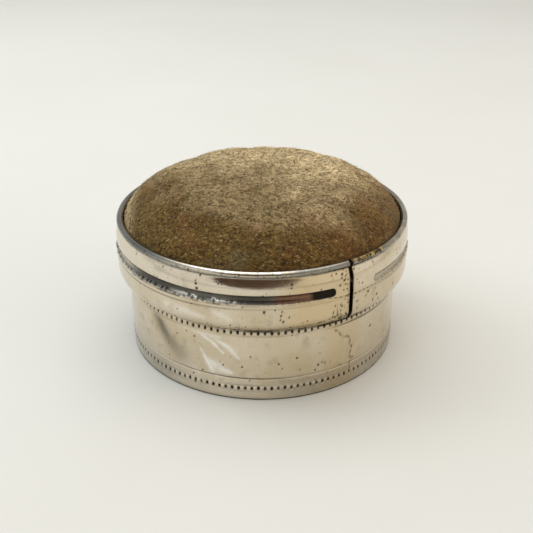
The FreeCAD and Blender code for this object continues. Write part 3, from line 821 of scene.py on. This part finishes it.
# Painted reflection: the rim's sides are darkened away from the front.
sides_dark_reflection = 0.3 * eased(to_side, 24, 50) * (0.7 + 0.3 * np.cos(14 * rim_arc / ROLL_CENTRE[0]))
sides_dark_reflection = sides_dark_reflection * (1 - brass_shows) * (1 - 0.6 * right_side)
before_slit = eased(rim_arc, 3.0, 8.0) * (rim_arc < 20)
# Painted reflection: a grey tone on the rim's sides and on the lower half of its roll. The rim is also greyer
# just before the seam.
rim_grey_tone = np.maximum(0.9 * eased(to_side, 20, 44), 0.85 * eased(-roll_up, -0.12, 0.12)) * (1 - flecked)
rim_grey_tone = np.maximum(rim_grey_tone, 0.6 * before_slit)
# Painted highlight: the top of the roll is brightened at the front.
rim_painted_highlight = eased(roll_up, 0.2, 0.4) * (1 - eased(to_side, 22, 40)) * (1 - 0.7 * before_slit)
near_slit = held(1.6 - abs(rim_arc - 17) / 7)
dirt_and_shade_line = np.maximum(0.4 + 0.6 * by_bead(rim_arc, 0.8, 12), near_slit)
rim_tarnish_and_shade = strongest(
    0.85 * spots(rim_arc, rim_height, rim_pits),
    sides_dark_reflection,
    # Dirt and painted shade: a dark line along the underside of the roll, uneven and fullest near the seam.
    0.85 * eased(-roll_up, 0.15 - 0.2 * near_slit, 0.5 - 0.25 * near_slit) * dirt_and_shade_line,
    0.3 * before_slit * (0.6 + 0.4 * by_bead(rim_arc, 0.5, 18)),
)
mark(rim, "brass", 0.85 * brass_shows * upper)
mark(rim, "tarnish_and_shade", rim_tarnish_and_shade)
mark(rim, "slate_reflection", rim_grey_tone * (1 - brass_shows * upper))
mark(rim, "burnish_and_highlight", rim_painted_highlight * (0.25 + 0.75 * by_bead(rim_arc, 0.6, 27)))
coat(rim, plated)
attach(rim, "lid")
dress("rim_wire", brass("brass_wire"))

# Lid floor and the inside of the cushion: a tinned disc on the ridge of the groove, a pasteboard disc, a
# lumpy heap of packed wool and bran, and the linen thread that gathers the velvet's margin under the card.
CARD = (0.40, 0.31, 0.19, 1)
CARD_FLECK = (0.25, 0.18, 0.1, 1)
WOOL = (0.60, 0.53, 0.40, 1)
BRAN = (0.33, 0.22, 0.11, 1)
LINEN = (0.58, 0.50, 0.36, 1)
LINEN_SHADE = (0.38, 0.31, 0.2, 1)
COVER_REACH = 27.12
SHOULDER = 26.55
CROWN_RISE = 6.8
CROWN_FULLNESS = 3.8
SEGMENTS = 128
STUFFING_REACH = 26.0
STUFFING_BOTTOM = 24.9
STUFFING_SLACK = 0.65


def fibrous(name, colour, fleck, to_a_metre, stretch, depth):
    """A matt, fibrous stuff: two colours in short streaks with a raised grain."""
    finish = new_finish(name)
    fibres = patches(to_a_metre, 4, stretch=stretch, grain=0.65)
    drift = patches(160, 3, (0.4, 0.7))
    mixed = layered(
        colour,
        (stretched(fibres, 0.42, 0.62), fleck),
        (stretched(drift, 0, 1, 0, 0.3), fleck),
    )
    surface({"Base Color": mixed, "Roughness": 0.92})
    relief(fibres, 0.6, depth)
    return finish


dress("lid_floor", tinned_sheet("floor_tin", rusting=0.35))
dress("cushion_card", fibrous("card", CARD, CARD_FLECK, to_a_metre=900, stretch=(1, 1.6, 1), depth=0.0001))
linen = fibrous("linen_thread", LINEN, LINEN_SHADE, to_a_metre=2600, stretch=(1, 1, 3), depth=0.0001)
dress("gathering_thread", linen)


def crown(outward):
    """Height of the stuffed top at a distance from the axis, before pressure swells it."""
    share = held(outward / COVER_REACH)
    return SHOULDER + 0.25 + CROWN_RISE * np.sqrt(1 - share**CROWN_FULLNESS)


def lumps(point):
    """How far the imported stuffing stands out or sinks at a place, in millimetres."""
    slow = noise.noise(Vector(point) * 0.085 + Vector((3.1, 0.4, 7.7)))
    quick = noise.noise(Vector(point) * 0.22 + Vector((9.2, 5.5, 1.3)))
    return 0.32 * slow + 0.12 * quick


def ringed(rings):
    """A closed form about the upright axis, through rings from the top one to the bottom one."""
    rings = np.array(rings)
    turn = np.arange(SEGMENTS) * 2 * math.pi / SEGMENTS
    outward = rings[:, :1] + 0 * turn
    points = np.stack([outward * np.sin(turn), -outward * np.cos(turn), rings[:, 1:] + 0 * turn], axis=-1)
    index = np.arange(points.shape[0] * SEGMENTS).reshape(-1, SEGMENTS)
    ahead = np.roll(index, -1, axis=1)
    quads = np.stack([index[:-1], index[1:], ahead[1:], ahead[:-1]], axis=-1).reshape(-1, 4).tolist()
    return points.reshape(-1, 3), quads + [index[0].tolist(), index[-1, ::-1].tolist()]


heap = [(0.2, crown(0.2) - STUFFING_SLACK)]
for share in np.sin(np.linspace(0, math.pi / 2, 34)[1:]):
    heap.append((STUFFING_REACH * share, crown(COVER_REACH * share) - STUFFING_SLACK))
heap += [(STUFFING_REACH, 25.5), (STUFFING_REACH - 0.5, STUFFING_BOTTOM)]
heap += [(13.0, STUFFING_BOTTOM), (0.4, STUFFING_BOTTOM)]
heap_points, heap_faces = ringed(heap)
for point in heap_points:
    loose = min(1.0, point[2] - STUFFING_BOTTOM)
    point[2] += loose * (lumps(point) + 0.15 * noise.noise(Vector(point) * 0.9))
stuffing = new_piece("packed_stuffing", heap_points * MM, heap_faces)
coat(stuffing, fibrous("stuffing", WOOL, BRAN, to_a_metre=700, stretch=(1, 1, 2.5), depth=0.0004))
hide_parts("cushion_stuffing")
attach(stuffing, "lid")

# Velvet cover: a disc of olive-brown silk velvet drawn tight over the stuffing and gathered under the card.
# The pile is worn to a sandy ground on the crown and pricked by years of pins.
COVER_BOTTOM = 23.36
SIM_SCALE = 10
SIM_STEPS = 20
MOST_SWELL = 0.55
PIN_COUNT = 80
PIN_REACH = 23.5
PRICK_WIDTH = 0.24
PRICK_DEPTH = 0.28


def at_points(mesh, kind):
    """The places or the normals of a mesh at its points."""
    values = np.empty(len(mesh.vertices) * 3)
    mesh.vertices.foreach_get(kind, values)
    return values.reshape(-1, 3)


def stuffed(points, faces):
    """Swell the velvet off its gathered margin by pressure, at ten times its size, where cloth settles."""
    trial = new_piece("cover_trial", points * MM * SIM_SCALE, faces)
    gathered = trial.vertex_groups.new(name="gathered")
    gathered.add([int(i) for i in np.flatnonzero(points[:, 2] < SHOULDER + 0.1)], 1.0, "REPLACE")
    cloth = trial.modifiers.new("velvet", "CLOTH")
    cloth.settings.vertex_group_mass = gathered.name
    cloth.settings.mass = 0.25
    cloth.settings.use_pressure = True
    cloth.settings.uniform_pressure_force = 4.0
    cloth.settings.effector_weights.gravity = 0.0
    cloth.collision_settings.use_collision = False
    cloth.point_cache.frame_start = 1
    cloth.point_cache.frame_end = SIM_STEPS
    for step in range(1, SIM_STEPS + 1):
        scene.frame_set(step)
    swollen = trial.evaluated_get(bpy.context.evaluated_depsgraph_get())
    moved = at_points(swollen.data, "co") / (MM * SIM_SCALE)
    scene.frame_set(1)
    bpy.data.objects.remove(trial)
    return moved


outward = COVER_REACH * np.sin(np.linspace(0, math.pi / 2, 30)[1:-1])
rings = [(0.2, crown(0.2))] + list(zip(outward, crown(outward)))
rings += [(COVER_REACH, SHOULDER), (COVER_REACH, 25.6), (COVER_REACH, 24.4), (COVER_REACH - 0.1, 23.7)]
rings += [(reach, COVER_BOTTOM) for reach in (COVER_REACH - 0.6, 22.0, 12.0, 0.4)]
cover_points, cover_faces = ringed(rings)
for point in cover_points:
    if point[2] > SHOULDER + 0.1:
        point[2] += lumps(point) * min(1.0, (point[2] - SHOULDER) / 2.5)
swell = stuffed(cover_points, cover_faces) - cover_points
far = np.linalg.norm(swell, axis=1, keepdims=True)
cover_points += swell * np.minimum(1, MOST_SWELL / np.maximum(far, 1e-6))

coarse_cover = new_piece("cover_smooth", cover_points * MM, cover_faces)
smoothing = coarse_cover.modifiers.new("smooth", "SUBSURF")
smoothing.levels = smoothing.render_levels = 2
smoothed = coarse_cover.evaluated_get(bpy.context.evaluated_depsgraph_get())
cushion_mesh = bpy.data.meshes.new_from_object(smoothed)
bpy.data.objects.remove(coarse_cover)
ground = at_points(cushion_mesh, "co") / MM
outwards = at_points(cushion_mesh, "normal")

pin_dice = default_rng(42)
pin_turns = pin_dice.uniform(0, 2 * math.pi, PIN_COUNT)
pin_reaches = PIN_REACH * np.sqrt(pin_dice.uniform(0, 1, PIN_COUNT))
pricks = 0
for turn, reach in zip(pin_turns, pin_reaches):
    from_pin = np.hypot(ground[:, 0] - reach * math.sin(turn), ground[:, 1] + reach * math.cos(turn))
    pricks = np.maximum(pricks, bell(from_pin, PRICK_WIDTH))
pile = np.array([
    0.16 * noise.noise(Vector(spot) * 1.8)
    + 0.09 * noise.noise(Vector(spot) * 3.3 + Vector((2, 7, 4)))
    + 0.06 * noise.noise(Vector(spot) * 0.8 + Vector((5, 5, 5)))
    for spot in ground
])
on_top = eased(ground[:, 2], SHOULDER - 0.2, SHOULDER + 0.8)
pricks *= on_top
velvet_place = ground + outwards * ((pile - PRICK_DEPTH * pricks) * on_top)[:, None]
cushion_mesh.vertices.foreach_set("co", (velvet_place * MM).ravel())
cushion_mesh.name = "velvet_cushion"
cushion_mesh.shade_smooth()
cushion = put("velvet_cushion", cushion_mesh)
mark(cushion, "prick", pricks)
# The pile's height. The velvet finish also darkens its hollows as painted shade.
mark(cushion, "pile", 0.5 + pile * 2.2)

OLIVE = (0.228, 0.139, 0.038, 1)
UMBER = (0.036, 0.018, 0.005, 1)
DEEP_OLIVE = (0.16, 0.095, 0.028, 1)
SAND = (0.95, 0.75, 0.44, 1)
MOSS = (0.2, 0.17, 0.09, 1)
RUSSET = (0.2, 0.085, 0.028, 1)
PALE_PILE = (0.85, 0.7, 0.42, 1)
WHITE_LINT = (0.9, 0.86, 0.76, 1)
SILK_SHEEN = (0.85, 0.68, 0.4, 1)


def velvet():
    """Worn silk velvet: olive over an umber ground, sandy where the crown is rubbed, with moss-grey and
    russet patches, pale broken fibres and dark pin holes. Painted shade darkens the hollows of the pile and
    reddens the right side, and painted light makes the cover lighter higher up and towards the back."""
    finish = new_finish("velvet")
    place = add_node("SeparateXYZ", {"Vector": own_place()}).outputs
    broad = patches(75, 4)
    patchy = patches(230, 4, (0.38, 0.66))
    mossy = patches(130, 3, (0.55, 0.74), (1, 1.2, 1))
    russet = patches(150, 3, (0.52, 0.72), (1.3, 1, 1))
    # Painted warm shade: the cover is redder towards the right.
    russet = plus(times(russet, 0.6), stretched(place["X"], 0, 0.02, 0, 0.3))
    fine_tufts = patches(1600, 4, (0.44, 0.56, 0, 0.42), grain=0.75)
    clumps = patches(700, 3, (0.43, 0.57, 0, 0.25))
    grain = patches(3000, 2, (0.44, 0.57, 0, 0.42))
    tufts = plus(fine_tufts, plus(clumps, grain))
    bare = patches(1900, 2, (0.59, 0.66), (1, 1.3, 1))
    # Painted light from behind: the back of the cover is made lighter.
    behind = stretched(place["Y"], -0.004, 0.017, 0, 0.95)
    # How far the pile is worn to sand on the crown, together with painted light that makes it lighter higher
    # up and towards the back. It is also darker over the left half and lighter again along the far left edge.
    rubbed = stretched(place["Z"], 0.0302, 0.0352, 0, 0.62)
    for more in (
        stretched(broad, 0.34, 0.68, -0.25, 0.22),
        times(behind, stretched(place["Z"], 0.0278, 0.0312, 0.1, 1)),
        stretched(place["X"], -0.02, 0.006, -0.26, 0),
        stretched(place["X"], -0.0262, -0.0232, 0.7, 0),
    ):
        rubbed = plus(rubbed, more)
    broken = patches(2600, 2, (0.61, 0.7), (0.6, 1.4, 1))
    broken = times(broken, stretched(rubbed, 0, 0.5, 0.3, 0.65))
    tip = marked("tip")
    colour = layered(
        UMBER,
        (tufts, OLIVE),
        (russet, RUSSET),
        (rubbed, layered(DEEP_OLIVE, (stretched(tufts, 0.1, 0.74), SAND))),
        (times(mossy, 0.42), MOSS),
        (times(patchy, 0.34), UMBER),
        (broken, PALE_PILE),
        (times(bare, 0.75), UMBER),
        (tip, PALE_PILE),
        (stretched(tip, 0.9, 1), WHITE_LINT),
        # Painted shade: umber where the pile sinks.
        (stretched(marked("pile"), 0.2, 0.54, 0.6, 0), UMBER),
        (times(marked("prick"), 0.75), UMBER),
    )
    surface({
        "Base Color": colour,
        "Roughness": 0.95,
        "Specular IOR Level": 0.15,
        "Sheen Weight": 0.22,
        "Sheen Roughness": 0.4,
        "Sheen Tint": SILK_SHEEN,
    })
    relief(plus(times(tufts, 0.6), times(broken, 0.4)), 0.8, 0.0002)
    return finish


velvet_finish = velvet()
coat(cushion, velvet_finish)
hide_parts("cushion_cover")
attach(cushion, "lid")

# Standing pile: loose ends of the velvet's silk that stand out of the worn ground and soften its outline.
# Each is a thin blade rooted in the cover and leaning its own way.
NAP_COUNT = 13000
NAP_SEED = 7
NAP_PILE = 0.75
ROOT_DEPTH = 0.05
LINT_PLACES = ((-7.7, -1.8), (5.7, 1.3))

nap_dice = default_rng(NAP_SEED)
napped = np.flatnonzero(velvet_place[:, 2] > SHOULDER + 0.35)
roots = nap_dice.choice(napped, NAP_COUNT, replace=False)
pale = nap_dice.uniform(-0.3, 0.75, NAP_COUNT)
for lint_x, lint_y in LINT_PLACES:
    from_lint = np.hypot(velvet_place[napped, 0] - lint_x, velvet_place[napped, 1] - lint_y)
    near = napped[np.argsort(from_lint)[:60:3]]
    roots = np.hstack([roots, near])
    pale = np.hstack([pale, np.ones(len(near))])
# Painted light: the pale tips fade lower down the cover.
pale *= 0.25 + 0.75 * eased(velvet_place[roots, 2], 30.0, 33.2)
blade_count = len(roots)
ways = outwards[roots] + nap_dice.normal(0, 0.75, (blade_count, 3))
ways /= np.linalg.norm(ways, axis=1, keepdims=True)
lengths = nap_dice.uniform(0.28, 0.7, (blade_count, 1))
across = np.cross(ways, nap_dice.normal(0, 1, (blade_count, 3)))
half_widths = nap_dice.uniform(0.018, 0.034, (blade_count, 1))
across = across / np.linalg.norm(across, axis=1, keepdims=True) * half_widths
feet = velvet_place[roots] - outwards[roots] * ROOT_DEPTH
blades = np.stack([feet - across, feet + across, feet + ways * lengths], axis=1).reshape(-1, 3)
nap = new_piece("velvet_nap", blades * MM, np.arange(blade_count * 3).reshape(-1, 3).tolist())
coat(nap, velvet_finish)
mark(nap, "pile", np.full(blade_count * 3, NAP_PILE))
mark(nap, "tip", np.repeat(pale, 3))
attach(nap, "lid")

# Loose threads: a few long ends of the velvet's silk that pins have pulled out of the pile. They lie curled
# on the crown, held only by the nap under them.
LOOSE_COUNT = 16
LOOSE_STEPS = 11
LOOSE_REACH = 19
LOOSE_HALF = 0.032
LOOSE_LIFT = 0.14

loose_points, loose_faces = [], []
for _ in range(LOOSE_COUNT):
    bearing = nap_dice.uniform(0, 2 * math.pi)
    outward = LOOSE_REACH * math.sqrt(nap_dice.uniform())
    spot = np.array([outward * math.sin(bearing), -outward * math.cos(bearing)])
    heading = nap_dice.uniform(0, 2 * math.pi)
    bend = nap_dice.normal(0, 0.16)
    stride = nap_dice.uniform(0.25, 0.55)
    for step in range(LOOSE_STEPS):
        from_spot = np.hypot(velvet_place[napped, 0] - spot[0], velvet_place[napped, 1] - spot[1])
        under = napped[np.argmin(from_spot)]
        along = np.array([math.cos(heading), math.sin(heading), 0.0])
        beside = np.cross(outwards[under], along) * LOOSE_HALF
        middle = np.array([spot[0], spot[1], velvet_place[under, 2]]) + outwards[under] * LOOSE_LIFT
        loose_points += [middle - beside, middle + beside]
        if step:
            last = len(loose_points) - 1
            loose_faces.append([last - 3, last - 2, last, last - 1])
        spot += along[:2] * stride
        heading += bend + nap_dice.normal(0, 0.12)
threads = new_piece("loose_threads", np.array(loose_points) * MM, loose_faces)
coat(threads, velvet_finish)
mark(threads, "pile", np.full(len(loose_points), NAP_PILE))
mark(threads, "tip", np.full(len(loose_points), 0.6))
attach(threads, "lid")

# Stage: a plain pale floor in an evenly lit room that is slightly warmer to the right, with a soft lamp at
# each side and one overhead. A brown card stands in front, behind the camera, for the plating to mirror.
FLOOR_PALE = (0.79, 0.785, 0.745, 1)
FLOOR_SHADE = (0.755, 0.745, 0.70, 1)
FLOOR_HALF = 2.5
CARD_BROWN = (0.13, 0.07, 0.045, 1)
CARD_FOLD = (0.06, 0.035, 0.025, 1)
CARD_PLACE = (-0.02, -0.41, 0.165)
CARD_HALF = (0.27, 0.15)
CARD_POINTS = 64
ROOM_SIDES = (0.66, 0.64, 0.59, 1)
ROOM_OVERHEAD = (0.46, 0.47, 0.48, 1)
ROOM_RIGHT = (0.73, 0.66, 0.55, 1)
ROOM_LEFT = (0.59, 0.62, 0.64, 1)
ROOM_LOW_FRONT = (0.92, 0.9, 0.85, 1)


def pale_floor():
    """A matt, faintly clouded floor."""
    finish = new_finish("pale_floor")
    clouds = patches(6, 4, (0.35, 0.7))
    colour = layered(FLOOR_PALE, (clouds, FLOOR_SHADE))
    surface({"Base Color": colour, "Roughness": 0.8, "Specular IOR Level": 0.2})
    relief(patches(900, 3), 0.08, 0.0001)
    return finish


def soft_lamp(name, power, colour, width, place, aim, mirrored):
    """A square lamp turned to a point. One that isn't mirrored doesn't show in the plating."""
    lamp = bpy.data.lights.new(name, "AREA")
    lamp.energy = power
    lamp.color = colour
    lamp.size = width
    hung = put(name, lamp)
    hung.visible_glossy = mirrored
    hung.location = place
    hung.rotation_euler = (Vector(aim) - Vector(place)).to_track_quat("-Z", "Y").to_euler()


def room():
    """The light of the room: dimmer overhead, warmer at the right, cooler at the left, pale low in front."""
    world = bpy.data.worlds.new("room")
    world.use_nodes = True
    bench["tree"] = world.node_tree
    way = add_node("TexCoord").outputs["Generated"]
    axes = add_node("SeparateXYZ", {"Vector": way}).outputs
    low = stretched(axes["Z"], 0.3, 0.5, 0.8, 0)
    light = layered(
        ROOM_SIDES,
        (stretched(axes["Z"], 0.2, 0.9), ROOM_OVERHEAD),
        (stretched(axes["X"], 0.0, 0.8, 0, 0.7), ROOM_RIGHT),
        (stretched(axes["X"], -0.3, -0.9, 0, 0.8), ROOM_LEFT),
        (times(low, stretched(axes["Y"], 0.35, -0.05)), ROOM_LOW_FRONT),
    )
    fit(world.node_tree.nodes["Background"], {"Color": light, "Strength": 1.0})
    return world


def brown_card():
    """An oval that faces the object. Only mirror-like surfaces see it."""
    turn = np.arange(CARD_POINTS) * 2 * math.pi / CARD_POINTS
    oval = np.stack([CARD_HALF[0] * np.cos(turn), CARD_HALF[1] * np.sin(turn), 0 * turn], axis=-1)
    card = new_piece("brown_card", oval, [list(range(CARD_POINTS))])
    card.location = CARD_PLACE
    card.rotation_euler = (-Vector(CARD_PLACE)).to_track_quat("Z", "Y").to_euler()
    card.visible_camera = card.visible_diffuse = card.visible_shadow = False
    finish = new_finish("brown_card")
    folds = patches(14, 3, (0.3, 0.7))
    surface({"Base Color": layered(CARD_BROWN, (folds, CARD_FOLD)), "Roughness": 0.9})
    coat(card, finish)
    return card


floor_corners = [(x * FLOOR_HALF, y * FLOOR_HALF, 0) for x, y in ((-1, -1), (1, -1), (1, 1), (-1, 1))]
floor = new_piece("pale_floor", floor_corners, [[0, 1, 2, 3]])
coat(floor, pale_floor())
brown_card()
scene.world = room()
soft_lamp(
    "left_lamp", power=1.3, colour=(0.9, 0.97, 1.0), width=0.4,
    place=(-0.52, 0.16, 0.42), aim=(0, 0, 0.02), mirrored=False,
)
soft_lamp(
    "right_lamp", power=0.45, colour=(1.0, 0.72, 0.38), width=0.4,
    place=(0.5, -0.1, 0.2), aim=(0, 0, 0.0), mirrored=False,
)
soft_lamp(
    "overhead_lamp", power=1.25, colour=(0.98, 0.99, 1.0), width=0.56,
    place=(-0.02, 0.06, 0.5), aim=(0, 0, 0.02), mirrored=True,
)

# Camera: looks along +Y at the height and distance found from the ellipses of the rim and the foot. The
# colours are shown as they were mixed.
CAMERA_AIM = Vector((0.00086, 0, 0.01386))
CAMERA_AWAY = 0.1686
CAMERA_UP = math.radians(27.31)
CAMERA_FIELD = math.radians(36)
SENSOR_WIDTH = 36.0
camera = put("camera", bpy.data.cameras.new("camera"))
camera.data.sensor_width = SENSOR_WIDTH
camera.data.sensor_fit = "HORIZONTAL"
camera.data.lens = SENSOR_WIDTH / 2 / math.tan(CAMERA_FIELD / 2)
camera.data.clip_start = 0.005
backward = Vector((0, -math.cos(CAMERA_UP), math.sin(CAMERA_UP)))
camera.location = CAMERA_AIM + backward * CAMERA_AWAY
camera.rotation_euler = backward.to_track_quat("Z", "Y").to_euler()
scene.camera = camera
scene.view_settings.view_transform = "Standard"
